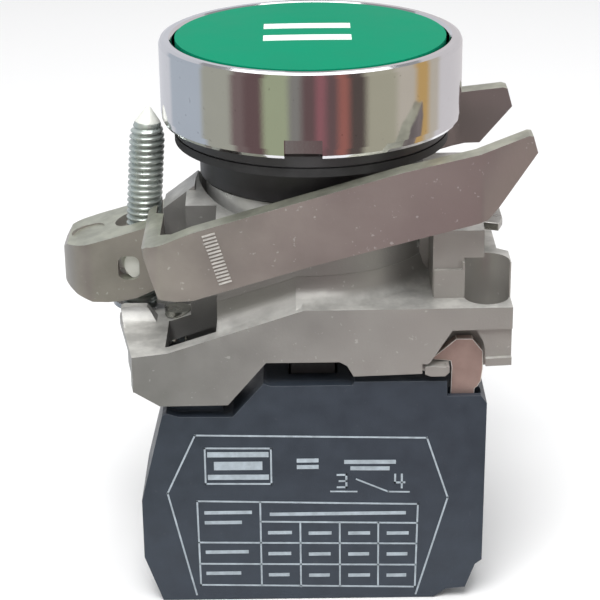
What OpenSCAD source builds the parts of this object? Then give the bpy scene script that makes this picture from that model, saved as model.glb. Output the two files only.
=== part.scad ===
// Panel-mounted industrial push button: metal head, clamp base and one contact block.
// Millimetres. Z = 0 is the face that meets the panel, +Z points out of the panel,
// the contact block sits in the front slot, towards -Y.

/* [Head] */
// Outer diameter of the bezel ring
bezel_d = 29.3; // [28.5:0.1:29.8]
// Height of the bezel rim above the panel
bezel_top = 10.1; // [10.1:0.1:11]
// Rise of the cap's domed face above its rim
cap_dome = 0.3; // [0.2:0.1:1.2]
// Length of the two bars on the cap
bar_len = 8.4; // [6:0.2:10]
// Width of each bar
bar_w = 1.9; // [1.2:0.1:2.2]
// Distance between the two bars
bar_pitch = 4.5; // [3.5:0.1:5.5]

/* [Clamp] */
// Thickness of each clamp arm
arm_t = 2; // [1.6:0.1:2]
// Length of clamp screw above its nut
screw_up = 15.1; // [12:0.1:16]

/* [Base] */
// Wall thickness of the die-cast base
wall_t = 1.6; // [1.3:0.1:1.8]
// Diameter of the two corner holes
corner_hole_d = 4.3; // [3.4:0.1:4.4]

/* [Contact block] */
// Thickness of the block's front cover
cover_t = 1.2; // [1:0.1:1.3]
// Diameter of the screwdriver holes under the terminals
access_d = 5.5; // [5.2:0.1:5.6]

/* [Hidden] */
$fn = 96;

rb = bezel_d / 2;
ri = 13.4;              // inside of the bezel
rc = ri - 0.32;         // outside of the cap
tube_r = 11;
sleeve_r = 10.45;
stem_r = 5.85;
bore_r = 11.2;          // collar bore
pivot = [-7, -8.5];     // yoke pivot, x and z
nut = [-17.07, -12];    // barrel nut axis, x and z
lean = 4.4;             // screw lean at rest
yb = -13.3;             // joint between block cover and housing
hook = [13.6, -24.4];   // latch pivot, x and z
tl = -11.8;             // left terminal axis
tr = 11;                // right terminal axis
ty = -9;                // contact plane of the block

chrome = [0.86, 0.87, 0.88];
zinc = [0.62, 0.61, 0.59];
steel = [0.6, 0.56, 0.54];
dark = [0.16, 0.16, 0.17];
slate = [0.22, 0.25, 0.28];
brass = [0.74, 0.6, 0.3];

// A profile in X and Z, drawn from y0 to y1
module side(y0, y1) {
  translate([0, y1, 0]) rotate([90, 0, 0]) linear_extrude(y1 - y0) children();
}
// A plan shape drawn from z0 to z1
module plan(z0, z1) { translate([0, 0, z0]) linear_extrude(z1 - z0) children(); }
// The same thing at +Y and mirrored at -Y
module both() { children(); mirror([0, 1, 0]) children(); }
module tube(ro, rin, z0, z1) {
  plan(z0, z1) difference() { circle(ro); circle(rin); }
}
module rod(r, z0, z1) { translate([0, 0, z0]) cylinder(r = r, h = z1 - z0); }
// A round bar along Y
module bar_y(r, x, z, y0, y1) {
  translate([x, y1, z]) rotate([90, 0, 0]) cylinder(r = r, h = y1 - y0);
}
// Coil spring standing on z0, with open wound turns
module coil(r, w, z0, z1, turns) {
  k = 10; m = 5; n = turns * k; h = z1 - z0 - 2 * w;
  pts = [for (i = [0:n]) for (j = [0:m - 1])
    let (a = 360 * i / k, b = 360 * j / m, q = r + w * cos(b))
    [q * cos(a), q * sin(a), z0 + w + h * i / n + w * sin(b)]];
  sidef = [for (i = [0:n - 1]) for (j = [0:m - 1])
    let (j2 = (j + 1) % m) [i * m + j, i * m + j2, (i + 1) * m + j2, (i + 1) * m + j]];
  tri = [for (f = sidef) each [[f[0], f[2], f[1]], [f[0], f[3], f[2]]]];
  ends = [[for (j = [0:m - 1]) j], [for (j = [m - 1:-1:0]) n * m + j]];
  polyhedron(points = pts, faces = concat(tri, ends));
}
// Places a part along the leaning clamp screw
module on_screw() {
  translate([nut[0], 0, nut[1]]) rotate([0, lean, 0]) children();
}

module bezel_ring() color(chrome) difference() {
  rotate_extrude() difference() {
    polygon([[10.3, 2], [rb - 0.5, 2], [rb - 0.25, 2.1], [rb - 0.08, 2.4], [rb, 3],
      [rb, bezel_top - 0.5], [rb - 0.15, bezel_top - 0.15],
      [rb - 0.5, bezel_top], [ri + 0.25, bezel_top], [ri, bezel_top - 0.25],
      [ri, 3.8], [12.9, 2.8], [10.3, 2.8]]);
  }
  for (a = [0:90:270]) rotate([0, 0, a - 3.3]) {
    translate([12.95, -1.75, 1.9]) cube([3, 3.5, 0.5]);
    translate([13.7, -1.75, 1.9]) cube([3, 3.5, 2]);
  }
}

// Domed disc with a skirt, recessed for the bars
module button_cap() color([0.02, 0.6, 0.47]) difference() {
  intersection() {
    union() {
      tube(rc, 12, 7.2, 8.7);
      rod(rc, 8.6, bezel_top + cap_dome + 0.2);
      tube(6.5, stem_r, 7, 8.7);
    }
    cap_skin(0);
  }
  bars(9.9, 14);
}
module cap_skin(up) {
  rotate_extrude() polygon(concat([[0, 5], [rc + 1, 5]],
    [for (i = [11:-1:0]) let (r = rc * i / 10)
      [r, bezel_top + up + cap_dome * (1 - pow(r / rc, 2))]]));
}
module bars(z0, z1) {
  for (s = [-1, 1])
    translate([-bar_len / 2 - 0.3, s * bar_pitch / 2 - bar_w / 2 - 0.3, z0])
      cube([bar_len, bar_w, z1 - z0]);
}
module cap_bars() color([0.95, 0.96, 0.95]) intersection() {
  bars(9.9, 14);
  cap_skin(0.04);
}

// Hollow stem with a foot ring that meets the contact block
module plunger() color(dark) difference() {
  union() {
    rod(stem_r, -15, 8.6);
    rotate_extrude() polygon([[4, -15.5], [8.3, -15.5], [8.3, -14.3], [7.6, -13.6], [4, -13.6]]);
  }
  rod(4.6, -16, 7.4);
  tube(9, 5.3, -1.65, -1.05);
}
module retaining_clip() color(steel) difference() {
  tube(7.4, 5.36, -1.6, -1.1);
  translate([0, -2, -3]) cube([9, 4, 3]);
}
module return_spring() color(steel) coil(7.55, 0.42, 0.85, 8.55, 3.5);
module wiper_seal() color(dark) rotate_extrude() translate([6.45, 0]) circle(0.5, $fn = 32);

// Flange, tube and web of the head
module head_body() color(dark) difference() {
  union() {
    rotate_extrude() polygon([[9.6, -3.64], [tube_r - 0.3, -3.64], [tube_r, -3.3],
      [tube_r, 0.8], [13.2, 0.8], [13.4, 1], [13.4, 2], [10.28, 2], [10.28, 3.1],
      [9, 3.1], [9, 0.8], [stem_r + 0.07, 0.8], [stem_r + 0.07, -1], [9.6, -1]]);
    translate([-0.9, 10.6, -1.2]) cube([1.8, 1.3, 1.5]);
  }
  tube(6.92, 5.5, -0.51, 0.51);
}
module panel_gasket() color([0.1, 0.1, 0.1]) difference() {
  tube(13.4, tube_r + 0.05, 0, 0.8);
  translate([-1, 10.5, -0.1]) cube([2, 1.6, 0.5]);
}
// Bright sleeve under the tube, with two locking lugs and small dimples
module bayonet_sleeve() color(chrome) difference() {
  union() {
    rotate_extrude() polygon([[8.8, -11.5], [sleeve_r - 0.3, -11.5], [sleeve_r, -11.2],
      [sleeve_r, -3.64], [9.54, -3.64], [9.54, -1.6], [8.8, -1.6]]);
    intersection() {
      tube(11.8, 10, -9.4, -8.1);
      for (a = [0, 180]) rotate([0, 0, a]) translate([5, -1.8, -10]) cube([8, 3.6, 3]);
    }
  }
  for (a = [-106, -74, -30, 30, 74, 106, 150, 210])
    rotate([0, 0, a]) translate([11, 0, -6.2]) rotate([0, -90, 0]) cylinder(r = 0.5, h = 0.9, $fn = 24);
}

// Outline of the base seen from the front, with its feet and bridges
base_front = [[-20.3, -17.35], [-17.3, -17.2], [-13.9, -16.8], [-1, -12.6], [18.65, -12.5],
  [18.65, -18.4], [12.8, -18.65], [12.8, -19.1], [12.4, -19.5], [11, -19.5], [10.4, -19.2],
  [3.7, -19.4], [3.1, -18.3], [2.4, -17.9], [-4.6, -17.9], [-8.3, -22.25],
  [-14.8, -22.3], [-17.2, -20.8], [-20.3, -20.8]];
base_plan = [[-17.3, -15], [18.65, -15], [18.65, 15], [-17.3, 15], [-18, 11], [-18.75, 7],
  [-19.3, 4.2], [-19.3, -4.2], [-18.75, -7], [-18, -11]];
collar_plan = [[-9.2, -12], [16.1, -12], [16.1, 12], [-9.2, 12], [-9.2, 6.9],
  [-12.2, 6.9], [-12.2, 4], [-14.55, 4], [-14.55, -4], [-12.2, -4], [-12.2, -6.9],
  [-9.2, -6.9]];

module base_shell() {
  intersection() { plan(-24, -12) polygon(base_plan); side(-15, 15) polygon(base_front); }
}
// Space under the deck for up to three contact blocks
module base_inside() {
  side(-15 + wall_t, 15 - wall_t) polygon([[-15.4, -19.5], [-13.9, -18.9], [-1, -14.6],
    [17, -14.5], [17, -24], [-15.4, -24]]);
  // the left end is open below the deck plate
  side(-15 + wall_t, 15 - wall_t) polygon([[-21, -19.4], [-15.3, -19.4], [-15.3, -25], [-21, -25]]);
  side(-11, 11) polygon([[-21, -18.3], [-15.3, -18.1], [-15.3, -25], [-21, -25]]);
}
module fillet_shape() {
  polygon([[11.8, -0.3], [14.4, -0.3], [14.1, -0.06], [13.3, 0.18], [12.7, 0.6], [12.3, 1.25],
    [12.04, 2.3], [11.8, 2.3]]);
}
module collar() {
  difference() {
    intersection() {
      plan(-13, -3) polygon(collar_plan);
      union() {
        rotate([0, -90, 0]) translate([0, 0, -17]) linear_extrude(29.2)
          polygon([[-13, -12], [-5.9, -12], [-3.7, -1], [-3.7, 1], [-5.9, 12], [-13, 12]]);
        side(-4, 4) polygon([[-14.55, -13], [-14.55, -6.16], [-11.4, -3.8], [-11.4, -13]]);
      }
    }
    // round between the flats and the corner posts
    both() plan(-14, -2) difference() { translate([0, 6]) square([11.3, 8]); circle(12); }
    // its left end slopes up to the ridge and falls away towards the back
    side(-7, 7) polygon([[-12.3, -4.48], [-11.3, -3.72], [-11.3, -3], [-12.3, -3]]);
    translate([-14.2, 0.4, -5.9]) rotate([0, -36.87, 0]) translate([-1, 0, 0])
      rotate([90, 0, 90]) linear_extrude(4.5) polygon([[0, 0], [8, -2.56], [8, 3], [0, 3]]);
    translate([-12.3, 0.4, -3.75]) rotate([90, 0, 90]) linear_extrude(3.1)
      polygon([[0, 0], [8, -3.2], [8, 3], [0, 3]]);
  }
  // fillet on to the deck, round the bore and along the flats down the slope
  intersection() {
    translate([0, 0, -12.6]) rotate_extrude() fillet_shape();
    translate([0, -14.6, -13]) cube([11.5, 29.2, 3]);
  }
  both() translate([-1.7, 0, -12.6]) rotate([90, 0, 90]) linear_extrude(1.7) fillet_shape();
  intersection() {
    both() translate([-1, 0, -12.6]) rotate([0, -18.03, 0]) translate([-9.2, 0, 0])
      rotate([90, 0, 90]) linear_extrude(9.25) fillet_shape();
    translate([-9.2, -15, -18]) cube([9.2, 30, 10]);
  }
  // feet of the collar on the sloping part of the deck
  both() side(6.8, 12) polygon([[-9.2, -12.9], [-2, -12.9], [-2, -13.6], [-9.2, -16]]);
  side(-6.9, 6.9) polygon([[-12, -12.9], [-2, -12.9], [-2, -13.6], [-12, -16.9]]);
  side(-3.9, 3.9) polygon([[-14.55, -12.9], [-11.9, -12.9], [-11.9, -16.9], [-14.55, -17.3]]);
}
// Corner block beside the collar, cut by the corner hole
module corner() {
  plan(-13, -8.95) polygon([[14.05, -12.4], [18.65, -12.4], [18.65, -9.4], [16, -7.4], [14.05, -7.4]]);
  plan(-13, -9.7) polygon([[11.4, -12.4], [14.1, -12.4], [14.1, -8], [11.4, -8]]);
}
module mounting_base() color(zinc) difference() {
  union() {
    difference() { base_shell(); base_inside(); }
    collar();
    both() corner();
    // cheeks each side of the screw channel
    intersection() {
      both() side(4.9, 8.6) polygon([[-19.1, -18], [-19.1, -15.9], [-18.7, -15.7],
        [-16.4, -15.7], [-15, -17.5]]);
      plan(-19, -15) polygon([[-14, -9], [-14, 9], [-18.3, 9], [-19, 5.6], [-19, -5.6], [-18.3, -9]]);
      both() rotate([90, 0, 90]) translate([0, 0, -20]) linear_extrude(8)
        polygon([[4.9, -18], [8.5, -17.6], [7.5, -17.25], [6.7, -16.8], [6.1, -16.2], [5.8, -15.6],
          [4.9, -15.6]]);
    }
    // bar that the blocks hook over, and the ribs that carry it
    both() side(3.6, 13.6) polygon([[-15.6, -21.9], [-14.4, -21.9], [-14.4, -20.9], [-15.6, -20.9]]);
    both() side(3.6, 4.8) polygon([[-16.5, -17.6], [-8.6, -15.8], [-8.6, -20.4], [-14.4, -21.9],
      [-16.5, -21.9]]);
    // seat for the sleeve and ribs across the deck
    rod(11.9, -14.4, -11.5);
    both() side(4.3, 5.3) polygon([[10, -14.5], [17.1, -14.5], [17.1, -18.4], [13, -18.4]]);
    // wall behind each latch pocket and the catch under it
    both() side(11.2, 12.4) polygon([[9.5, -14], [17.1, -14], [17.1, -19.5], [14.8, -19.5],
      [14.2, -18.4], [12.3, -18.4], [12.3, -19.2], [9.5, -19.2]]);
    both() side(11.2, 15) polygon([[10.3, -18.5], [12.8, -18.5], [12.8, -19.1], [12.4, -19.5],
      [11, -19.5], [10.3, -19.2]]);
  }
  // collar bore, clearance for the plunger foot and the lugs' groove
  rod(bore_r, -11.5, 0);
  rod(9.1, -24, 0);
  for (a = [0, 180]) rotate([0, 0, a]) intersection() {
    tube(12.1, 9, -9.7, -7.8);
    plan(-10, -7) polygon([[2, -0.7], [14, -4.6], [14, 4.6], [2, 0.7]]);
  }
  for (a = [158, 338]) rotate([0, 0, a]) intersection() {
    translate([9, -2.2, -9.6]) cube([4, 4.4, 9]);
    rod(12, -10, 0);
  }
  // windows in the sloping deck
  both() translate([-14.2, 6.9, -20]) cube([4.9, 6.5, 9]);
  // channel for the clamp screw, open towards the left and below
  translate([-22, -3.4, -25]) cube([7.6, 6.8, 12]);
  // corner holes, through the deck only
  both() translate([16.4, 12, -14.9]) cylinder(d = corner_hole_d, h = 6.3);
  // latch pockets at both long walls
  both() side(12.4, 16) polygon([[10.4, -18.5], [11, -18], [13, -14.8], [15.2, -14.75],
    [16, -16.2], [16.2, -17.2], [16.2, -19], [12.9, -19], [12.8, -18.5]]);
  both() side(12.4, 14.05) polygon([[13, -15.6], [17.6, -15.4], [17.6, -19], [13.1, -19]]);
  // shallow step in the wall beside each pocket, and the groove round each catch
  both() side(14.5, 16) polygon([[15, -14.75], [19, -14.65], [19, -17.6], [16.1, -17.75],
    [15, -17]]);
  both() side(14.2, 16) polygon([[10.22, -20], [10.22, -18.2], [12.5, -18.35], [12.5, -18.6],
    [10.5, -18.45], [10.5, -20]]);
  // slot for the lock lever
  intersection() {
    tube(20, 10, -8.15, -6.85);
    plan(-9, -6) polygon([[1, -0.6], [20, -12.5], [20, 12.5], [1, 0.6]]);
  }
  // pivot pin holes and rivet holes
  both() bar_y(1.2, pivot[0], pivot[1], 9.4, 13);
  both() translate([-13.4, 5.3, -22]) cylinder(r = 0.9, h = 8, $fn = 32);
  both() translate([-13.4, 5.3, -16.7]) cylinder(r = 1.34, h = 3, $fn = 48);
}
// Flat lever that locks the sleeve; its tab stands out beside the collar
module lock_lever() color(zinc) intersection() {
  difference() {
    plan(-7.9, -7.1) polygon([[0, 0], [18.5, -7], [18.5, 3], [0, 0]]);
    rod(11.95, -9, -6);
  }
  rod(19.2, -9, -6);
}
module base_rivets() color([0.55, 0.55, 0.55])
  both() translate([-13.4, 5.3, 0]) {
    rod(1.3, -16.7, -16.1, $fn = 48);
    rod(0.88, -19.4, -16.6, $fn = 32);
  }
module yoke_pivot_pins() color(steel) both() bar_y(1.2, pivot[0], pivot[1], 9.4, 13.6);

// Clamp yoke: two raised arms joined by a shoulder and the nut block
arm_side = [[-16.1, -6.9], [-15.6, -6.5], [-14.5, -6.2], [-11.3, -4.95], [8.1, 0.65],
  [19.9, 3.4], [20.35, 3.3], [20.85, 1.65], [17.3, -2.95], [16.2, -4.1], [0, -8.3],
  [-11.3, -11.65], [-13, -11.75], [-14.6, -11.5]];
// The rear arm joins lower down and stands a little lower than the front one
rear_side = [[-16.1, -11.5], [-15.6, -11.2], [-12.2, -8.9], [-4.5, -4.4], [8.1, -1.25],
  [19.9, 1.6], [20.35, 1.5], [20.85, -0.3], [17.7, -4.6], [16.2, -4.85], [15, -5.3], [0, -9.8],
  [-10, -12.3], [-12.5, -13], [-14.5, -14], [-16.1, -14.2]];
module arm_plan() {
  polygon([[-9, 12.5], [15, 12.5], [21, 9.8], [21, 9.9 + arm_t], [15.3, 12.5 + arm_t],
    [-14.2, 12.5 + arm_t], [-15.2, 14.2], [-15.9, 13.6], [-16.2, 12.6], [-16.2, 2.3], [-15.2, 2.3],
    [-15.2, 4.6], [-14.4, 5.4], [-14.4, 11.4], [-13.3, 12.5]]);
}
module nut_plan() {
  translate([-21.4, -1.1]) square([6.2, 2.2]);
  intersection() {
    translate([-24.8, -4.5]) square([9.6, 9]);
    union() {
      translate([-21.4, -4.5]) square([6.2, 9]);
      translate([-21.4, 1.1]) circle(3.4);
      translate([-21.4, -1.1]) circle(3.4);
      translate([-24.8, -1.1]) square([4, 2.2]);
    }
  }
}
nut_side = [[-25, -11.2], [-24.3, -10.1], [-22.4, -9.75], [-19.4, -8.9], [-16.1, -7.9], [-15, -7.9],
  [-15, -14.2], [-17.4, -15.3], [-18.6, -15.6], [-20.3, -15.75], [-21.9, -15.7], [-23.4, -15.1],
  [-25, -14]];
module clamp_yoke() color(steel) difference() {
  union() {
    intersection() { side(-15, 0) polygon(arm_side); plan(-18, 6) mirror([0, 1]) arm_plan(); }
    intersection() { side(0, 15) polygon(rear_side); plan(-18, 6) arm_plan(); }
    intersection() { side(-5, 5) polygon(nut_side); plan(-18, 0) nut_plan(); }
  }
  bar_y(2.47, nut[0], nut[1], -2.95, 2.95);
  bar_y(1.62, nut[0], nut[1], -3.95, 3.95);
  // slot in which the screw swings
  translate([nut[0], 0, nut[1]]) {
    for (a = [lean + 1, -10.5]) rotate([0, a, 0]) cylinder(r = 2.05, h = 18, center = true);
    side(-1.9, 1.9) polygon([[0.75, 8], [-1.48, 8], [1.3, -7], [-0.66, -7]]);
  }
  // windows that show the trunnions of the barrel nut
  both() side(2.9, 5) translate([-18.15, -12.15]) offset(0.7, $fn = 24) square([0.7, 1.05], center = true);
  // shallow recess on the rounded end
  translate([-22.4, 0, -9.9]) rotate([0, -16, 0]) cylinder(r = 1.7, h = 3, $fn = 48);
  // blind bores for the pivot pins
  both() bar_y(1.27, pivot[0], pivot[1], 11, 13.8);
}
module barrel_nut() color(chrome) difference() {
  union() {
    bar_y(2.4, nut[0], nut[1], -2.9, 2.9);
    bar_y(1.55, nut[0], nut[1], -3.9, 3.9);
  }
  on_screw() rod(1.83, -5, 5);
}
module screw_ring() color(steel) on_screw() difference() {
  tube(2.8, 1.46, -5.6, -5.1);
  translate([0, -1.3, -6]) cube([4, 2.6, 2]);
}
module clamp_screw() color(zinc) on_screw() difference() {
  rotate_extrude() polygon([[0, -6.6], [1.45, -6.6], [1.7, -6.3], [1.7, -5.65], [1.4, -5.65],
    [1.4, -5.05], [1.7, -5.05], [1.75, -4.8], [1.75, screw_up - 3.2], [1.6, screw_up - 2.4],
    [1.25, screw_up - 1.5], [0.25, screw_up], [0, screw_up]]);
  translate([-3, -0.4, -7]) cube([6, 0.8, 1.2]);
}

// Outline of the contact block seen from the front
block_side = [[-13.1, -23.7], [-14.3, -23.3], [-14.7, -23.6], [-17, -32.7], [-17, -39],
  [-15.3, -43.9], [11.7, -43.9], [12.9, -43], [14.8, -42.8], [15.75, -40.2], [16.4, -39.7],
  [16.4, -30.8], [16.5, -22.6], [15.9, -21.8], [12.65, -21.8], [12.65, -20.2], [3.8, -20.2],
  [3.6, -20.55], [-4.2, -20.55], [-4.9, -20.3], [-7.9, -23.75]];
module latch_space() {
  side(-13.85, -12.45) polygon([[12.6, -19], [12.6, -22], [12.2, -22.6], [12.2, -29], [15.7, -29],
    [15.7, -23], [16, -21.9], [16, -19]]);
}
module block_housing() color(slate) difference() {
  union() {
    side(yb, -4.5) polygon(block_side);
    // hook that hangs on the base at the left
    side(-13.1, -5.6) polygon([[-14.1, -24], [-14.1, -20.9], [-15.3, -20.9], [-15.3, -20.5],
      [-14.6, -19.9], [-9.8, -19.9], [-9.2, -20.5], [-8.8, -24]]);
  }
  // contact chamber and both terminal chambers, open to the cover
  side(yb - 1, -5.7) polygon([[-6.6, -42.5], [6.6, -42.5], [6.6, -30], [-6.6, -30]]);
  side(-11.6, -6.4) polygon([[-15.3, -41.2], [-8.2, -41.2], [-8.2, -31], [-15.3, -31]]);
  side(yb - 1, -11.5) polygon([[-15.3, -41.2], [-8.2, -41.2], [-8.2, -31], [-15.3, -31]]);
  side(-12.2, -5.8) polygon([[-15.3, -41.2], [-8.2, -41.2], [-8.2, -37], [-15.3, -37]]);
  side(yb - 1, -6.4) polygon([[7.6, -41.2], [14.6, -41.2], [14.6, -31], [7.6, -31]]);
  side(-12.2, -5.8) polygon([[7.6, -41.2], [14.6, -41.2], [14.6, -37], [7.6, -37]]);
  // slots for the contact strips
  for (x = [-8.5, 6.3]) translate([x, yb - 1, -37.42]) cube([2.2, 7.35, 0.84]);
  // guide for the pusher
  translate([-2.5, -11.6, -31]) cube([4.7, 5.2, 14]);
  // wire entries in both ends
  translate([-18, -11.8, -41.2]) cube([3, 5.6, 3.8]);
  translate([14.5, -11.8, -41.2]) cube([3, 5.6, 3.8]);
  // screwdriver holes
  for (x = [tl, tr]) translate([x, ty, -45]) cylinder(d = access_d, h = 5);
  latch_space();
  bar_y(0.7, hook[0], hook[1], -14, -12);
}
module block_cover() color(slate) difference() {
  side(yb - cover_t, yb) polygon(block_side);
  latch_space();
  bar_y(0.7, hook[0], hook[1], -13.95, -12);
}
module contact_pusher() color([0.1, 0.1, 0.11]) difference() {
  translate([-2.3, -11.4, -35]) cube([4.3, 4.8, 19.4]);
  translate([-3, -10.3, -33.05]) cube([6, 2.6, 4.25]);
}
module pusher_spring() color(steel) translate([0, ty, 0]) coil(1.5, 0.22, -42.45, -35.05, 5);
module moving_bridge() color(brass) {
  translate([-5.6, ty - 1.1, -33]) cube([11.2, 2.2, 0.6]);
  for (x = [-4.6, 4.6]) translate([x, ty, -33.6]) cylinder(r = 0.9, h = 0.7, $fn = 32);
}
module contact_spring() color(steel) translate([0, ty, 0]) coil(0.85, 0.18, -32.35, -28.85, 4);
module fixed_strip(x0, x1, tip, hole) difference() {
  union() {
    translate([x0, ty - 2, -37.4]) cube([x1 - x0, 4, 0.8]);
    translate([tip, ty, -36.7]) cylinder(r = 0.9, h = 0.7, $fn = 32);
  }
  translate([hole, ty, -38]) cylinder(r = 1.78, h = 2);
}
module fixed_contact_left() color(brass) fixed_strip(-14.6, -3.5, -4.6, tl);
module fixed_contact_right() color(brass) fixed_strip(3.5, 14.2, 4.6, tr);
module saddle(x) difference() {
  translate([x - 2.9, ty - 2.9, -38.5]) cube([5.8, 5.8, 1.05]);
  translate([x, ty, -39]) cylinder(r = 1.78, h = 2);
}
module terminal_saddle_left() color(chrome) saddle(tl);
module terminal_saddle_right() color(chrome) saddle(tr);
module terminal_screw(x) translate([x, ty, 0]) difference() {
  union() { rod(1.7, -38.6, -32); rod(2.4, -41, -38.55); }
  for (a = [0, 90]) rotate([0, 0, a]) translate([-2, -0.4, -42]) cube([4, 0.8, 2]);
}
module terminal_screw_left() color(steel) terminal_screw(tl);
module terminal_screw_right() color(steel) terminal_screw(tr);

// Flat metal latch that holds the block to the base at the right
module latch_hook() color(steel) difference() {
  side(-13.7, -12.7) polygon([[11.2, -18.3], [11.2, -18.15], [13.5, -16.2], [15.05, -16.2],
    [16.05, -17.5], [16.1, -19.3], [15.95, -20.6], [15.6, -21.2], [15.35, -21.4], [15.3, -22.4],
    [14.7, -22.6], [14.8, -23.8], [15.5, -24.3], [15.5, -25.2], [14.3, -25.5], [13.1, -25.5],
    [12.5, -24.9], [12.5, -23.9], [13, -23.2], [13.1, -19.2], [13, -18.5]]);
  bar_y(0.75, hook[0], hook[1], -15, -12);
}
module latch_pin() color(steel) bar_y(0.7, hook[0], hook[1], -13.95, -12.1);
module latch_spring() color(steel) translate([14.9, -13.2, 0]) coil(0.4, 0.13, -28.9, -25.45, 5);

bezel_ring();
button_cap();
cap_bars();
plunger();
retaining_clip();
return_spring();
wiper_seal();
head_body();
panel_gasket();
bayonet_sleeve();
mounting_base();
lock_lever();
base_rivets();
yoke_pivot_pins();
clamp_yoke();
barrel_nut();
screw_ring();
clamp_screw();
block_housing();
block_cover();
contact_pusher();
pusher_spring();
moving_bridge();
contact_spring();
fixed_contact_left();
fixed_contact_right();
terminal_saddle_left();
terminal_saddle_right();
terminal_screw_left();
terminal_screw_right();
latch_hook();
latch_pin();
latch_spring();
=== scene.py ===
import math
import bmesh
import bpy
from mathutils import Matrix, Vector


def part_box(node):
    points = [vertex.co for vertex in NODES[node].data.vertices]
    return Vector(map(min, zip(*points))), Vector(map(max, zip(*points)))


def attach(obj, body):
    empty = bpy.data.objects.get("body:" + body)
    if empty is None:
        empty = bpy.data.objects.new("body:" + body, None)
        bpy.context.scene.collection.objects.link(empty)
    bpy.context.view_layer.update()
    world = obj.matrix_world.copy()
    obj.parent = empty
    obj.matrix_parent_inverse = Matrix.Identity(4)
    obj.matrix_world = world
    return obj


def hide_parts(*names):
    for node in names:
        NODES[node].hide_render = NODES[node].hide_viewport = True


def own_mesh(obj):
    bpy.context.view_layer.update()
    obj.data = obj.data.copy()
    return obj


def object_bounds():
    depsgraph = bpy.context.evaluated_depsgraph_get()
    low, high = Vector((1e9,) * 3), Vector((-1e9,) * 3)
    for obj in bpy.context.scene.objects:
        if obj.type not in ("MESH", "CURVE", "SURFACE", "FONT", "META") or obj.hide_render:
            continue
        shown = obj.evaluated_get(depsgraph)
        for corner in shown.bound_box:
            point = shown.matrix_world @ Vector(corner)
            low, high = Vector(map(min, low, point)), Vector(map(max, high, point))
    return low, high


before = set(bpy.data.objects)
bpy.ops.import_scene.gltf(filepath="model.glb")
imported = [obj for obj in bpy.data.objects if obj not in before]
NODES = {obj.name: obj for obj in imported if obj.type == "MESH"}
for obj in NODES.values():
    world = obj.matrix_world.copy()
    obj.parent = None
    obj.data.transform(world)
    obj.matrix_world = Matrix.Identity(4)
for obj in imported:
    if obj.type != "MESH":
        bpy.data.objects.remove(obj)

CAD_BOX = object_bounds()
MM = 0.001
scene = bpy.context.scene


# ---------------------------------------------------------------- camera
CAMERA_PLACE = (-0.0013, -0.180, 0.05568)
CAMERA_LENS, CAMERA_SENSOR = 114.48, 36.0
CAMERA_DIP, CAMERA_ROLL = 22.15, -0.7


def add_camera():
    data = bpy.data.cameras.new("camera")
    data.sensor_width = CAMERA_SENSOR
    data.lens = CAMERA_LENS
    data.clip_start, data.clip_end = 0.01, 20.0
    cam = bpy.data.objects.new("camera", data)
    scene.collection.objects.link(cam)
    tilt = Matrix.Rotation(math.radians(90.0 - CAMERA_DIP), 4, "X")
    roll = Matrix.Rotation(math.radians(CAMERA_ROLL), 4, "Z")
    cam.matrix_world = Matrix.Translation(CAMERA_PLACE) @ tilt @ roll
    scene.camera = cam


add_camera()


# ---------------------------------------------------------------- materials
CLOUD_SCALE, SPECK_SCALE, TOP_LIGHT_SCALE = 110.0, 1900.0, 420.0
PAINTED_SHADE_FROM, PAINTED_SHADE_TO = -20 * MM, 18 * MM
BUMP_HEIGHT = 0.05 * MM


def node_tree(name):
    """A new material, its node tree and its shader."""
    mat = bpy.data.materials.new(name)
    mat.use_nodes = True
    tree = mat.node_tree
    return mat, tree, tree.nodes["Principled BSDF"]


def noise(tree, scale, detail=3.0, rough=0.5, stretch=None, turn=0.0):
    """Noise in the object's own metres, drawn out by stretch and turned about Y in degrees."""
    coord = tree.nodes.new("ShaderNodeTexCoord")
    tex = tree.nodes.new("ShaderNodeTexNoise")
    tex.inputs["Scale"].default_value = scale
    tex.inputs["Detail"].default_value = detail
    tex.inputs["Roughness"].default_value = rough
    mapping = tree.nodes.new("ShaderNodeMapping")
    mapping.inputs["Rotation"].default_value = (0.0, math.radians(turn), 0.0)
    if stretch:
        mapping.inputs["Scale"].default_value = stretch
    tree.links.new(coord.outputs["Object"], mapping.inputs["Vector"])
    tree.links.new(mapping.outputs["Vector"], tex.inputs["Vector"])
    return tex


def ramp(tree, source, stops):
    """Maps a value to colours at (place, colour) stops; a grey is a tuple of one."""
    node = tree.nodes.new("ShaderNodeValToRGB")
    element = node.color_ramp.elements
    while len(element) < len(stops):
        element.new(0.5)
    for item, (pos, col) in zip(element, stops):
        item.position = pos
        item.color = (*col, 1.0) if len(col) == 3 else (col[0],) * 3 + (1.0,)
    tree.links.new(source, node.inputs["Fac"])
    return node


def coordinate(tree, kind, axis):
    """One axis of an object's own coordinates, or of its normal."""
    coord = tree.nodes.new("ShaderNodeTexCoord")
    split = tree.nodes.new("ShaderNodeSeparateXYZ")
    tree.links.new(coord.outputs[kind], split.inputs["Vector"])
    return split.outputs[axis]


def shade(col, k):
    """The colour made k times as light."""
    return tuple(min(1.0, c * k) for c in col)


def mix(tree, fac, a, b):
    """Goes from a to b as fac rises; each is a colour or a socket."""
    node = tree.nodes.new("ShaderNodeMix")
    node.data_type = "RGBA"
    tree.links.new(fac, node.inputs["Factor"])
    for sock, value in (("A", a), ("B", b)):
        target = [s for s in node.inputs if s.name == sock and s.type == "RGBA"][0]
        if isinstance(value, tuple):
            target.default_value = (*value, 1.0)
        else:
            tree.links.new(value, target)
    return [s for s in node.outputs if s.type == "RGBA"][0]


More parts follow.
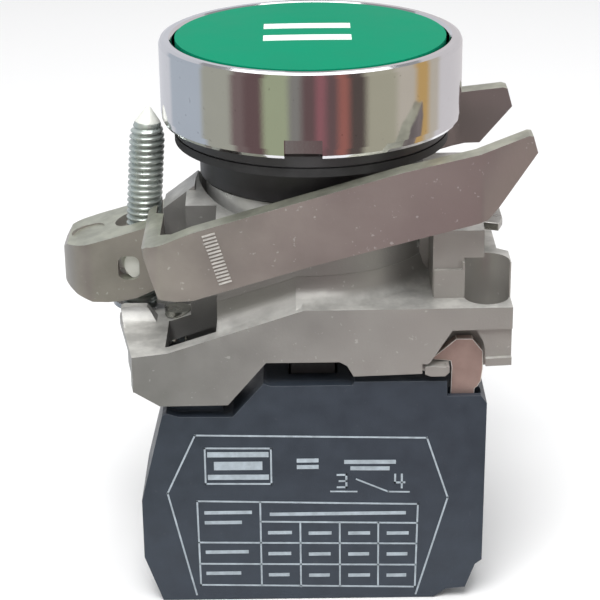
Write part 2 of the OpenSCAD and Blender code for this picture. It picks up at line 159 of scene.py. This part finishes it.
def surface(name, col, metallic, rough, spread=0.12, scale=300.0, rough_spread=0.06,
            bump=0.0, bump_scale=3000.0, stretch=None, turn=0.0, specular=0.5,
            cloud=0.0, specks=0.0, speck_col=(0.8, 0.8, 0.78), painted_top_light=None, right=None):
    """A finish with mottled colour, uneven roughness, cloudy stains, specks and a fine bump.

    The tone given for faces that look up is painted top light, a painted highlight where light
    falls on them, and right is the tone painted towards +X, painted shade and reflection.
    Scales are in cells per metre.
    """
    mat, tree, bsdf = node_tree(name)
    bsdf.inputs["Metallic"].default_value = metallic
    bsdf.inputs["Specular IOR Level"].default_value = specular
    tex = noise(tree, scale, 4.0, 0.55, stretch, turn)
    tint = ramp(tree, tex.outputs["Fac"],
                [(0.3, shade(col, 1 - spread)), (0.7, shade(col, 1 + spread))])
    out = tint.outputs["Color"]
    # A colour shift along X: painted shade and reflection that darkens one end of the part.
    if right:
        painted_shade_span = tree.nodes.new("ShaderNodeMapRange")
        painted_shade_span.inputs["From Min"].default_value = PAINTED_SHADE_FROM
        painted_shade_span.inputs["From Max"].default_value = PAINTED_SHADE_TO
        tree.links.new(coordinate(tree, "Object", "X"), painted_shade_span.inputs["Value"])
        out = mix(tree, painted_shade_span.outputs["Result"], out, right)
    if cloud:
        soft = noise(tree, CLOUD_SCALE, 2.0, 0.5)
        edge = ramp(tree, soft.outputs["Fac"], [(0.42, (0.0,)), (0.66, (cloud,))])
        out = mix(tree, edge.outputs["Color"], out, shade(col, 0.55))
    if specks:
        dot = noise(tree, SPECK_SCALE, 2.0, 0.5)
        edge = ramp(tree, dot.outputs["Fac"], [(0.70, (0.0,)), (0.76, (specks,))])
        out = mix(tree, edge.outputs["Color"], out, speck_col)
    # Faces that look up are made paler: painted top light, a painted highlight where light falls,
    # mottled by noise.
    if painted_top_light:
        edge = ramp(tree, coordinate(tree, "Normal", "Z"), [(0.55, (0.0,)), (0.9, (0.9,))])
        top_light_noise = noise(tree, TOP_LIGHT_SCALE, 3.0, 0.6)
        painted_top_mottle = ramp(tree, top_light_noise.outputs["Fac"],
                   [(0.36, shade(painted_top_light, 0.72)), (0.64, shade(painted_top_light, 1.12))])
        out = mix(tree, edge.outputs["Color"], out, painted_top_mottle.outputs["Color"])
    tree.links.new(out, bsdf.inputs["Base Color"])
    gloss = ramp(tree, tex.outputs["Fac"],
                 [(0.25, (max(0.02, rough - rough_spread),)), (0.75, (rough + rough_spread,))])
    tree.links.new(gloss.outputs["Color"], bsdf.inputs["Roughness"])
    if bump:
        fine = noise(tree, bump_scale, 3.0, 0.6, stretch, turn)
        node = tree.nodes.new("ShaderNodeBump")
        node.inputs["Strength"].default_value = bump
        node.inputs["Distance"].default_value = BUMP_HEIGHT
        tree.links.new(fine.outputs["Fac"], node.inputs["Height"])
        tree.links.new(node.outputs["Normal"], bsdf.inputs["Normal"])
    return mat


CHROME = surface("chrome", (0.74, 0.74, 0.76), metallic=1.0, rough=0.075, spread=0.03, scale=120,
                 rough_spread=0.03, bump=0.04, bump_scale=4000, specks=0.3,
                 speck_col=(0.3, 0.3, 0.3))
BRIGHT = surface("bright_metal", (0.84, 0.84, 0.81), metallic=0.45, rough=0.3, spread=0.10,
                 scale=400, rough_spread=0.06, bump=0.12, bump_scale=5000, cloud=0.3)
GREEN = surface("cap_green", (0.0, 0.235, 0.125), metallic=0.0, rough=0.5, spread=0.03, scale=200,
                rough_spread=0.04, bump=0.06, bump_scale=5000, specular=0.05)
WHITE = surface("bar_white", (0.88, 0.93, 0.89), metallic=0.0, rough=0.45, spread=0.02, scale=500,
                rough_spread=0.05, bump=0.05, bump_scale=5000, specular=0.2)
BLACK = surface("black_plastic", (0.046, 0.045, 0.047), metallic=0.0, rough=0.42, spread=0.15,
                scale=500, rough_spread=0.08, bump=0.18, bump_scale=6000, specular=0.4)
RUBBER = surface("black_rubber", (0.034, 0.034, 0.035), metallic=0.0, rough=0.65, spread=0.2,
                 scale=700, rough_spread=0.1, bump=0.3, bump_scale=5000, specular=0.3)
# cast_zinc: its top-face tone is painted top light on the deck, and its paler tone towards +X
# leaves the left end darker, painted shade under the nut block.
ZINC = surface("cast_zinc", (0.265, 0.262, 0.255), metallic=0.4, rough=0.42, spread=0.14,
               scale=260, rough_spread=0.08, bump=0.4, bump_scale=4200, cloud=0.26, specks=0.25,
               painted_top_light=(0.60, 0.595, 0.565), right=(0.38, 0.365, 0.34))
# A pale finish for the bevel faces of the base and lever: a painted highlight along their edges.
ZINC_EDGE_HIGHLIGHT = surface("cast_zinc_edge_highlight", (0.50, 0.495, 0.47), metallic=0.4, rough=0.4, spread=0.2,
                    scale=900, rough_spread=0.08, bump=0.3, bump_scale=4200)
# yoke_zinc: its top-face tone is painted top light with a greenish painted reflection, and its
# darker pinkish tone towards +X is painted shade and reflection on the arms.
YOKE = surface("yoke_zinc", (0.36, 0.335, 0.305), metallic=0.5, rough=0.36, spread=0.2, scale=330,
               rough_spread=0.08, bump=0.3, bump_scale=4200, stretch=(0.5, 1.0, 0.5), turn=-15.6,
               cloud=0.3, specks=0.35, painted_top_light=(0.36, 0.37, 0.30), right=(0.27, 0.215, 0.21))
# A near-white finish for the yoke's bevel faces: a painted highlight along its edges.
YOKE_EDGE_HIGHLIGHT = surface("yoke_zinc_edge_highlight", (0.95, 0.94, 0.92), metallic=0.2, rough=0.4, spread=0.2,
                    scale=1500, rough_spread=0.08, bump=0.3, bump_scale=4200)
PLATED = surface("plated_steel", (0.50, 0.51, 0.48), metallic=1.0, rough=0.28, spread=0.1,
                 scale=500, rough_spread=0.08, bump=0.2, bump_scale=5000)
THREAD = surface("thread_steel", (0.50, 0.55, 0.52), metallic=0.65, rough=0.28, spread=0.18,
                 scale=350, rough_spread=0.08, bump=0.2, bump_scale=4000, cloud=0.35)
TIP = surface("tip_bright", (0.80, 0.81, 0.75), metallic=0.1, rough=0.4, spread=0.04, scale=500,
              rough_spread=0.05, bump=0.1, bump_scale=5000)
SPRING = surface("spring_steel", (0.5, 0.5, 0.51), metallic=1.0, rough=0.3, spread=0.1, scale=900,
                 rough_spread=0.08, bump=0.1, bump_scale=6000)
SLATE = surface("slate_plastic", (0.034, 0.044, 0.060), metallic=0.0, rough=0.45, spread=0.12,
                scale=500, rough_spread=0.08, bump=0.3, bump_scale=7000, specular=0.35, cloud=0.1,
                specks=0.06, speck_col=(0.2, 0.2, 0.2))
# A paler finish for the block's bevel faces: a painted highlight along its edges.
SLATE_EDGE_HIGHLIGHT = surface("slate_edge_highlight", (0.085, 0.095, 0.11), metallic=0.0, rough=0.5, spread=0.2,
                     scale=900, rough_spread=0.08, bump=0.3, bump_scale=7000, specular=0.35)
BRASS = surface("contact_brass", (0.66, 0.49, 0.22), metallic=1.0, rough=0.3, spread=0.1,
                scale=600, rough_spread=0.08, bump=0.1, bump_scale=5000)
LATCH = surface("latch_steel", (0.42, 0.305, 0.27), metallic=0.45, rough=0.4, spread=0.12,
                scale=500, rough_spread=0.1, bump=0.3, bump_scale=4000, cloud=0.2, specks=0.2)
# A paler finish for the latch's bevel faces: a painted highlight along its edges.
LATCH_EDGE_HIGHLIGHT = surface("latch_edge_highlight", (0.80, 0.76, 0.72), metallic=0.4, rough=0.4, spread=0.2,
                     scale=1500, rough_spread=0.08, bump=0.3, bump_scale=4000)
PRINT = surface("label_print", (0.36, 0.41, 0.45), metallic=0.0, rough=0.5, spread=0.18,
                scale=1200, rough_spread=0.05, bump=0.2, bump_scale=6000, specular=0.25)
# The ridges are given a paler tone than the arm.
RIDGE = surface("ridge_pale_tone", (0.56, 0.54, 0.51), metallic=0.3, rough=0.4, spread=0.2, scale=900,
                rough_spread=0.08, bump=0.4, bump_scale=5000)

FINISH = {
    "bezel_ring": CHROME, "button_cap": GREEN, "cap_bars": WHITE, "plunger": BLACK,
    "retaining_clip": SPRING, "return_spring": SPRING, "wiper_seal": RUBBER,
    "head_body": BLACK, "panel_gasket": RUBBER, "bayonet_sleeve": BRIGHT,
    "mounting_base": ZINC, "lock_lever": PLATED, "base_rivets": PLATED,
    "yoke_pivot_pins": PLATED, "clamp_yoke": YOKE, "barrel_nut": BRIGHT,
    "screw_ring": SPRING, "clamp_screw": PLATED, "block_housing": SLATE,
    "block_cover": SLATE, "contact_pusher": BLACK, "pusher_spring": SPRING,
    "moving_bridge": BRASS, "contact_spring": SPRING, "fixed_contact_left": BRASS,
    "fixed_contact_right": BRASS, "terminal_saddle_left": PLATED,
    "terminal_saddle_right": PLATED, "terminal_screw_left": PLATED,
    "terminal_screw_right": PLATED, "latch_hook": LATCH, "latch_pin": PLATED,
    "latch_spring": SPRING,
}
for name, finish in FINISH.items():
    mesh = NODES[name].data
    mesh.materials.clear()
    mesh.materials.append(finish)


# ---------------------------------------------------------------- rounded edges on the CAD nodes, with painted highlights on the bevels
WELD_GAP = 0.002 * MM
FLAT_ANGLE, EDGE_ANGLE = math.radians(1.0), math.radians(32.0)


def soften(name, width, edge=None):
    """Rounds a node's sharp edges by modifiers, with its own mesh left as it is."""
    obj = NODES[name]
    weld = obj.modifiers.new("weld", "WELD")
    weld.merge_threshold = WELD_GAP
    flat = obj.modifiers.new("flat", "DECIMATE")
    flat.decimate_type = "DISSOLVE"
    flat.angle_limit = FLAT_ANGLE
    bevel = obj.modifiers.new("bevel", "BEVEL")
    bevel.width = width * MM
    bevel.segments = 2
    bevel.limit_method = "ANGLE"
    bevel.angle_limit = EDGE_ANGLE
    bevel.use_clamp_overlap = True
    # The bevel faces take the edge finish, a painted highlight.
    if edge:
        obj.data.materials.append(edge)
        bevel.material = 1
    even = obj.modifiers.new("even", "WEIGHTED_NORMAL")
    even.keep_sharp = False


for name, width, edge in (
        ("mounting_base", 0.14, ZINC_EDGE_HIGHLIGHT), ("clamp_yoke", 0.18, YOKE_EDGE_HIGHLIGHT),
        ("block_cover", 0.12, SLATE_EDGE_HIGHLIGHT), ("block_housing", 0.12, SLATE_EDGE_HIGHLIGHT),
        ("latch_hook", 0.12, LATCH_EDGE_HIGHLIGHT), ("lock_lever", 0.08, ZINC_EDGE_HIGHLIGHT),
        ("contact_pusher", 0.12, None)):
    soften(name, width, edge)


# ---------------------------------------------------------------- pieces
def piece(name, mesh, body, materials):
    """A new object that rides on a body and carries the given finishes in its slots."""
    obj = bpy.data.objects.new(name, mesh)
    scene.collection.objects.link(obj)
    for mat in materials:
        mesh.materials.append(mat)
    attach(obj, body)
    return obj


# ---------------------------------------------------------------- clamp screw
# Lengths are in mm along the screw, from the nut's centre; LEAN tips its top towards +X
NUT = Vector((-17.07, 0.0, -12.0)) * MM
LEAN = math.radians(4.4)
SCREW_TOP = 15.1
CONE_FOOT = SCREW_TOP - 1.55
PITCH = 0.6
THREAD_DEPTH = 0.30
SCREW_FOOT, THREAD_FOOT = -6.6, -4.9
SLOT_SIZE = (6.0, 0.8, 2.0)
SLOT_HEIGHT = -6.8


def screw_radius(z, turn):
    """Radius in mm at height z above the nut's centre, and at a share of a turn."""
    outline = ((SCREW_FOOT, 1.45), (-6.3, 1.7), (-5.65, 1.7), (-5.64, 1.4), (-5.06, 1.4),
               (-5.05, 1.7), (-4.8, 1.75), (SCREW_TOP - 3.2, 1.75), (SCREW_TOP - 2.4, 1.62),
               (SCREW_TOP - 1.5, 1.25), (SCREW_TOP - 0.12, 0.28), (SCREW_TOP, 0.02))
    outer = outline[-1][1]
    for (za, ra), (zb, rb) in zip(outline, outline[1:]):
        if z <= zb:
            outer = ra + (rb - ra) * max(0.0, (z - za) / (zb - za))
            break
    run_in = max(0.0, (z - THREAD_FOOT) / 0.5)
    run_out = max(0.0, (SCREW_TOP - 1.7 - z) / 0.5)
    fade = min(1.0, run_in, run_out)
    share = (z / PITCH - turn) % 1.0
    crest = min(1.0, 1.3 * (1.0 - abs(2.0 * share - 1.0)))
    return outer - THREAD_DEPTH * fade * (1.0 - crest)


def screw_mesh():
    """The screw turned from its outline, with the helix cut into it."""
    around, step = 56, PITCH / 10.0
    rows = [SCREW_FOOT, -6.3, -5.65, -5.64, -5.06, -5.05]
    z = THREAD_FOOT
    while z < SCREW_TOP - 1.6:
        rows.append(z)
        z += step
    rows += [SCREW_TOP - 1.5, SCREW_TOP - 1.1, SCREW_TOP - 0.6, SCREW_TOP - 0.12, SCREW_TOP]
    place = Matrix.Translation(NUT) @ Matrix.Rotation(LEAN, 4, "Y")
    bm = bmesh.new()
    rings = []
    for z in rows:
        ring = []
        for i in range(around):
            r, a = screw_radius(z, i / around), 2.0 * math.pi * i / around
            ring.append(bm.verts.new(place @ (Vector((r * math.cos(a), r * math.sin(a), z)) * MM)))
        rings.append(ring)
    for z, low, high in zip(rows, rings, rings[1:]):
        for i in range(around):
            j = (i + 1) % around
            face = bm.faces.new((low[i], low[j], high[j], high[i]))
            face.smooth = True
            face.material_index = 1 if z >= CONE_FOOT else 0
    bm.faces.new(list(reversed(rings[0])))
    bm.faces.new(rings[-1])
    mesh = bpy.data.meshes.new("clamp_screw_threaded")
    bm.to_mesh(mesh)
    bm.free()
    return mesh


def cut_slot(mesh):
    """The same mesh with a driver slot across the screw's lower end."""
    place = Matrix.Translation(NUT) @ Matrix.Rotation(LEAN, 4, "Y")
    bm = bmesh.new()
    bmesh.ops.create_cube(bm, size=1.0)
    bmesh.ops.scale(bm, vec=Vector(SLOT_SIZE) * MM, verts=bm.verts)
    bmesh.ops.translate(bm, vec=Vector((0.0, 0.0, SLOT_HEIGHT)) * MM, verts=bm.verts)
    bmesh.ops.transform(bm, matrix=place, verts=bm.verts)
    cutter_mesh = bpy.data.meshes.new("cutter")
    bm.to_mesh(cutter_mesh)
    bm.free()
    cutter = bpy.data.objects.new("cutter", cutter_mesh)
    blank = bpy.data.objects.new("blank", mesh)
    scene.collection.objects.link(cutter)
    scene.collection.objects.link(blank)
    modifier = blank.modifiers.new("slot", "BOOLEAN")
    modifier.object, modifier.operation, modifier.solver = cutter, "DIFFERENCE", "EXACT"
    bpy.context.view_layer.update()
    graph = bpy.context.evaluated_depsgraph_get()
    result = bpy.data.meshes.new_from_object(blank.evaluated_get(graph))
    bpy.data.objects.remove(cutter)
    bpy.data.objects.remove(blank)
    return result


screw_blank = screw_mesh()
screw_blank.materials.append(THREAD)
screw_blank.materials.append(TIP)
screw_final = cut_slot(screw_blank)
screw = piece("clamp_screw_threaded", screw_final, "screw", ())
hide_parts("clamp_screw")


# ---------------------------------------------------------------- springs
def coil_mesh(node, wire, turns):
    """A round wire wound through the room of a CAD spring; wire is its radius in mm."""
    low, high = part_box(node)
    wire *= MM
    centre, reach = (low + high) / 2.0, (high.x - low.x) / 2.0 - wire
    rise = high.z - low.z - 2.0 * wire
    around, along = 10, 36
    count = int(turns * along)
    bm = bmesh.new()
    rings = []
    for i in range(count + 1):
        a, z = 2.0 * math.pi * i / along, low.z + wire + rise * i / count
        ring = []
        for j in range(around):
            b = 2.0 * math.pi * j / around
            r = reach + wire * math.cos(b)
            ring.append(bm.verts.new((centre.x + r * math.cos(a), centre.y + r * math.sin(a),
                                      z + wire * math.sin(b))))
        rings.append(ring)
    for one, two in zip(rings, rings[1:]):
        for j in range(around):
            k = (j + 1) % around
            bm.faces.new((one[j], two[j], two[k], one[k])).smooth = True
    bm.faces.new(rings[0])
    bm.faces.new(list(reversed(rings[-1])))
    bmesh.ops.recalc_face_normals(bm, faces=bm.faces)
    mesh = bpy.data.meshes.new(node + "_coil")
    bm.to_mesh(mesh)
    bm.free()
    return mesh


# node, wire radius in mm, turns, body, joint that shortens it, end that stays, travel in mm
SPRINGS = (("return_spring", 0.42, 3.5, "frame", "button_press", 0, 4.03),
           ("pusher_spring", 0.22, 5, "frame", "pusher_slide", 0, 4.03),
           ("contact_spring", 0.18, 4, "pusher", "bridge_slide", 1, 1.63),
           ("latch_spring", 0.13, 5, "frame", "latch_release", 0, 0.35))


def add_springs():
    for node, wire, turns, body, joint, fixed, travel in SPRINGS:
        coil = piece(node + "_coil", coil_mesh(node, wire, turns), body, (SPRING,))
        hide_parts(node)
        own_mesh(coil)


add_springs()


# ---------------------------------------------------------------- label and ridges
# Strokes are drawn in mm, x and z, on a face that looks towards -Y
INK_RISE, INK_DEPTH = 0.035, 0.02


def ink(strokes, y, rise=INK_RISE):
    """Flat bars standing a little proud of a face at y, from ((x, z), (x, z), width) rows."""
    bm = bmesh.new()
    for (xa, za), (xb, zb), width in strokes:
        a, b = Vector((xa, 0.0, za)), Vector((xb, 0.0, zb))
        along = (b - a).normalized()
        side = Vector((-along.z, 0.0, along.x)) * (width / 2.0)
        a, b = a - along * width * 0.5, b + along * width * 0.5
        corners = (a - side, b - side, b + side, a + side)
        back = [bm.verts.new((c + Vector((0.0, y + INK_DEPTH, 0.0))) * MM) for c in corners]
        front = [bm.verts.new((c + Vector((0.0, y - rise, 0.0))) * MM) for c in corners]
        bm.faces.new(front)
        bm.faces.new(list(reversed(back)))
        for i in range(4):
            j = (i + 1) % 4
            bm.faces.new((back[i], back[j], front[j], front[i]))
    bmesh.ops.recalc_face_normals(bm, faces=bm.faces)
    mesh = bpy.data.meshes.new("ink")
    bm.to_mesh(mesh)
    bm.free()
    return mesh


def chain(points, width, closed=False):
    """Strokes from each point to the next."""
    ends = points[1:] + ([points[0]] if closed else [])
    return [(a, b, width) for a, b in zip(points, ends)]


FACE_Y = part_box("block_cover")[0].y / MM
LINE, FINE, NUMERAL, HEAVY = 0.17, 0.15, 0.19, 0.42
BAR, BAR_INSET = 0.36, 0.25


def label_frame():
    """The label's outline and the rules of its table."""
    rows = chain([(-11.95, -43.3), (-14.45, -31.9), (-11.6, -25.65), (10.8, -26.2),
                  (12.9, -32.7), (9.9, -43.5)], LINE)
    rows += chain([(-11.6, -32.8), (10.0, -33.4), (9.8, -42.7), (-11.5, -42.2)], LINE, True)
    rows += [((-5.44, -33.0), (-5.44, -42.3), LINE)]
    rows += [((x, -35.4), (x, -42.5), LINE) for x in (-1.54, 2.34, 6.13)]
    rows += [((-5.4, -35.15), (9.95, -35.5), LINE), ((-11.55, -37.4), (9.9, -37.8), LINE),
             ((-11.5, -39.8), (9.87, -40.2), LINE)]
    return rows


def label_panel():
    """A blank panel at the left, and short blank bars where words would stand."""
    rows = chain([(-10.7, -27.05), (-4.3, -27.15), (-4.3, -31.0), (-10.7, -30.9)], LINE, True)
    rows += [((-10.2, z), (-4.8, z - 0.05), 0.55) for z in (-27.75, -30.2)]
    rows += [((-9.4, -28.98), (-5.6, -29.0), 0.9)]
    rows += [((-1.6, z), (0.1, z), HEAVY) for z in (-28.5, -29.2)]
    rows += [((3.0, -28.7), (7.6, -28.75), HEAVY), ((3.6, -29.4), (7.0, -29.45), HEAVY)]
    return rows


def label_symbol():
    """An open contact between two terminals, numbered 3 and 4 in plain strokes."""
    rows = [((1.5, -31.9), (4.0, -31.95), FINE), ((7.1, -32.0), (9.1, -32.05), FINE),
            ((4.0, -30.6), (7.1, -32.0), FINE)]
    rows += chain([(2.15, -30.1), (3.0, -30.1), (3.0, -31.45), (2.15, -31.45)], NUMERAL)
    rows += [((2.35, -30.78), (3.0, -30.78), NUMERAL)]
    rows += chain([(7.75, -30.15), (7.75, -31.0), (8.65, -31.0)], NUMERAL)
    rows += [((8.4, -30.15), (8.4, -31.55), NUMERAL)]
    return rows


def label_bars():
    """Blank bars in the table, as (start, end, height) in the place of its words."""
    bars = ((-11.0, -6.2, -34.1), (-11.0, -7.2, -35.2), (-11.0, -6.6, -38.5),
            (-11.0, -7.4, -40.9), (-4.6, 8.9, -34.35), (-4.8, -2.3, -36.4),
            (-0.8, 1.6, -36.5), (3.1, 5.4, -36.55), (6.9, 9.2, -36.6),
            (-4.8, -2.4, -38.75), (-0.8, 1.5, -38.85), (3.1, 5.3, -38.9),
            (6.9, 9.1, -38.95), (-4.8, -2.6, -41.15), (-0.8, 1.4, -41.25),
            (3.1, 5.4, -41.3), (6.9, 9.0, -41.35))
    return [((x0 + BAR_INSET, z), (x1 - BAR_INSET, z), BAR) for x0, x1, z in bars]


def label_strokes():
    return label_frame() + label_panel() + label_symbol() + label_bars()


piece("block_label_print", ink(label_strokes(), FACE_Y), "frame", (PRINT,))


ARM_FACE_Y = -14.5
RIDGE_COUNT, RIDGE_REACH, RIDGE_SLOPE, RIDGE_WIDTH, RIDGE_RISE = 15, 0.52, 0.29, 0.17, 0.09


def arm_ridges():
    """A band of small ridges across the front arm, square to its length."""
    rows = []
    top, low = Vector((-9.75, -4.95)), Vector((-8.2, -10.0))
    half = Vector((RIDGE_REACH, RIDGE_REACH * RIDGE_SLOPE))
    for i in range(RIDGE_COUNT):
        centre = top.lerp(low, (i + 0.5) / RIDGE_COUNT)
        rows.append((tuple(centre - half), tuple(centre + half), RIDGE_WIDTH))
    return rows


piece("yoke_arm_ridges", ink(arm_ridges(), ARM_FACE_Y, RIDGE_RISE), "yoke",
      (RIDGE,))


# ---------------------------------------------------------------- stage and light
FLOOR_REACH, FLOOR_GAP = 1.5, 0.05 * MM


def add_floor():
    mesh = bpy.data.meshes.new("floor")
    size, z = FLOOR_REACH, CAD_BOX[0][2] - FLOOR_GAP
    mesh.from_pydata([(-size, -size, z), (size, -size, z), (size, size, z), (-size, size, z)],
                     [], [(0, 1, 2, 3)])
    floor = bpy.data.objects.new("floor", mesh)
    scene.collection.objects.link(floor)
    mesh.materials.append(surface("floor_pale", (0.93, 0.93, 0.93), metallic=0.0, rough=0.8,
                                  spread=0.01, scale=3, rough_spread=0.02, specular=0.1))


def add_light(name, place, target, size, power):
    data = bpy.data.lights.new(name, "AREA")
    data.energy, data.size = power, size
    lamp = bpy.data.objects.new(name, data)
    scene.collection.objects.link(lamp)
    lamp.location = place
    lamp.rotation_euler = (Vector(target) - Vector(place)).to_track_quat("-Z", "Y").to_euler()
    lamp.visible_camera = False


# ---------------------------------------------------------------- reflection card
# What the chrome ring mirrors: tones, and the angle in degrees from -Y to +X where each begins
PALE, SKY, STONE = (0.70, 0.71, 0.75), (0.49, 0.54, 0.60), (0.42, 0.42, 0.355)
MAUVE, WINE, MOSS = (0.21, 0.155, 0.15), (0.155, 0.10, 0.10), (0.40, 0.44, 0.29)
ASH, ROSE, BRICK = (0.26, 0.25, 0.23), (0.32, 0.135, 0.15), (0.37, 0.145, 0.12)
COAL, SAND, AMBER = (0.105, 0.083, 0.075), (0.44, 0.42, 0.32), (0.58, 0.38, 0.15)
CREAM, MILK = (0.56, 0.51, 0.43), (0.70, 0.67, 0.68)
BANDS = ((-178, PALE), (-124, SKY), (-84, STONE), (-58, MAUVE), (-48, WINE), (-34, MOSS),
         (-16, ASH), (-7, WINE), (3, ROSE), (10, WINE), (18, BRICK), (26, COAL), (38, SAND),
         (62, CREAM), (79, AMBER), (92, CREAM), (104, MILK))
BAND_BLEND = 5.0
STRIP_INNER, STRIP_REACH, STRIP_TOP, STRIP_LIFT = 0.035, 0.09, 0.09, 0.0002
STRIP_STEP, STRIP_END, STRIP_FLOOR_END = 1.5, 178, 125


def strip_tone(angle):
    """The band's tone, blended into the one before it over a few degrees."""
    tone = BANDS[0][1]
    for start, after in BANDS[1:]:
        k = min(1.0, max(0.0, (angle - start) / BAND_BLEND + 0.5))
        tone = tuple(p + (q - p) * k for p, q in zip(tone, after))
    return (*tone, 1.0)


def add_strip():
    """A studio card round the model and on the floor before it, seen in reflections only."""
    low = CAD_BOX[0][2]
    rows = ((STRIP_INNER, low), (STRIP_REACH, low), (STRIP_REACH, STRIP_TOP))
    verts, tones, faces = [], [], []
    count = int(2 * STRIP_END / STRIP_STEP)
    for i in range(count + 1):
        angle = i * STRIP_STEP - STRIP_END
        a = math.radians(angle)
        for reach, z in rows:
            verts.append((reach * math.sin(a), -reach * math.cos(a), z + STRIP_LIFT))
            tones.append(strip_tone(angle))
    wide = len(rows)
    for i in range(count):
        for j in range(wide - 1):
            k = i * wide + j
            if j == 1 or abs(i * STRIP_STEP - STRIP_END) < STRIP_FLOOR_END:
                faces.append((k, k + wide, k + wide + 1, k + 1))
    mesh = bpy.data.meshes.new("reflection_strip")
    mesh.from_pydata(verts, [], faces)
    layer = mesh.color_attributes.new("tone", "FLOAT_COLOR", "POINT")
    for item, tone in zip(layer.data, tones):
        item.color = tone
    card = bpy.data.objects.new("reflection_strip", mesh)
    scene.collection.objects.link(card)
    mat = bpy.data.materials.new("reflection_strip")
    mat.use_nodes = True
    tree = mat.node_tree
    tree.nodes.remove(tree.nodes["Principled BSDF"])
    source = tree.nodes.new("ShaderNodeAttribute")
    source.attribute_name = "tone"
    glow = tree.nodes.new("ShaderNodeEmission")
    tree.links.new(source.outputs["Color"], glow.inputs["Color"])
    tree.links.new(glow.outputs["Emission"], tree.nodes["Material Output"].inputs["Surface"])
    mesh.materials.append(mat)
    card.visible_camera = card.visible_diffuse = card.visible_shadow = False
    card.visible_transmission = card.visible_volume_scatter = False


def add_world():
    world = bpy.data.worlds.new("world")
    scene.world = world
    world.use_nodes = True
    back = world.node_tree.nodes["Background"]
    back.inputs["Color"].default_value = (0.92, 0.925, 0.94, 1.0)
    back.inputs["Strength"].default_value = 0.38


# ---------------------------------------------------------------- scene
add_floor()
add_world()
add_strip()
add_light("key", (-0.06, -0.25, 0.43), (0, 0, -0.01), size=0.30, power=2.4)
add_light("fill", (0.40, -0.25, 0.15), (0, 0, -0.01), size=0.30, power=0.35)
add_light("top", (0.0, 0.10, 0.50), (0, 0, 0), size=0.45, power=1.2)

scene.view_settings.view_transform = "Standard"
